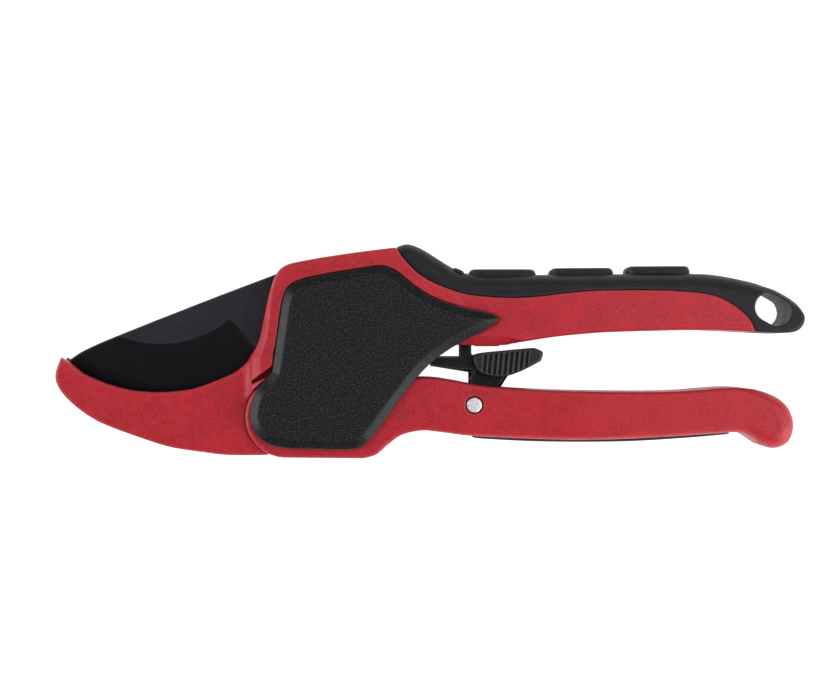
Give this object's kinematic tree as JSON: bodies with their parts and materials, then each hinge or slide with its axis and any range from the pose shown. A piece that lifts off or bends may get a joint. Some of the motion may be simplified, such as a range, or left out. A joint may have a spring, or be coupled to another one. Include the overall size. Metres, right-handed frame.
{
  "type": "anvil pruner",
  "caption": "Hand pruner whose straight blade closes onto a curved anvil jaw, worked by two handles through a slotted tang, with a thumb catch and hanging hole.",
  "frame": {"origin": "on the blade pivot's axis, at the outer flat face of the back cover that the closed pruner lies on", "axes": "+X from the jaw's tip to the handle ends, +Y from the lower handle to the upper handle, +Z from the back cover to the front cover"},
  "size_m": [0.2077, 0.0595, 0.0208],
  "materials": {
    "red_casting": "die-cast aluminium with a satin red powder coat",
    "soft_grip": "soft black over-moulded elastomer, fine matte",
    "cover_black": "fine spark-eroded texture with a smoother sloped edge",
    "blade_steel": "hardened steel with a black low-friction coating, ground bevel",
    "steel": "bright zinc-plated steel",
    "catch_steel": "black coated steel plate",
    "pad_black": "ribbed black plastic",
    "nylon": "black nylon"
  },
  "bodies": {
    "frame": {"upper_frame": "red_casting", "upper_grip": "soft_grip", "anvil_insert": "nylon", "anvil_pin_1": "steel", "anvil_pin_2": "steel", "front_cover": "cover_black", "back_cover": "cover_black", "cover_screw_1": "steel", "cover_screw_2": "steel", "pivot_screw": "steel", "blade_bolt": "steel", "blade_nut": "steel", "lower_pivot_pin": "steel", "spring_core": "nylon", "return_spring": "steel", "keeper_pin": "steel"},
    "lower_handle": {"lower_handle": "red_casting", "lower_grip": "soft_grip", "drive_pin": "steel", "catch_rivet": "steel", "catch_spring": "steel"},
    "blade": {"blade": "blade_steel", "blade_bush": "nylon"},
    "catch": {"catch_plate": "catch_steel", "thumb_pad": "pad_black"}
  },
  "joints": [
    {"name": "handle_pivot", "type": "hinge", "parent": "frame", "child": "lower_handle", "pos_m": [-0.0011, -0.0172, 0.0104], "axis": [0, 0, -1], "range_deg": [0, 36], "deforming": ["return_spring"]},
    {"name": "blade_pivot", "type": "hinge", "parent": "frame", "child": "blade", "pos_m": [0, 0, 0.0104], "axis": [0, 0, -1], "range_deg": [0, 27]},
    {"name": "catch_pivot", "type": "hinge", "parent": "lower_handle", "child": "catch", "pos_m": [0.051, -0.0139, 0.0104], "axis": [0, 0, -1], "range_deg": [-5, 12], "stiffness_Nm_per_rad": 0.02, "deforming": ["catch_spring"]}
  ],
  "couplings": [
    {"joint": "blade_pivot", "follows": "handle_pivot", "ratio": 0.75}
  ]
}
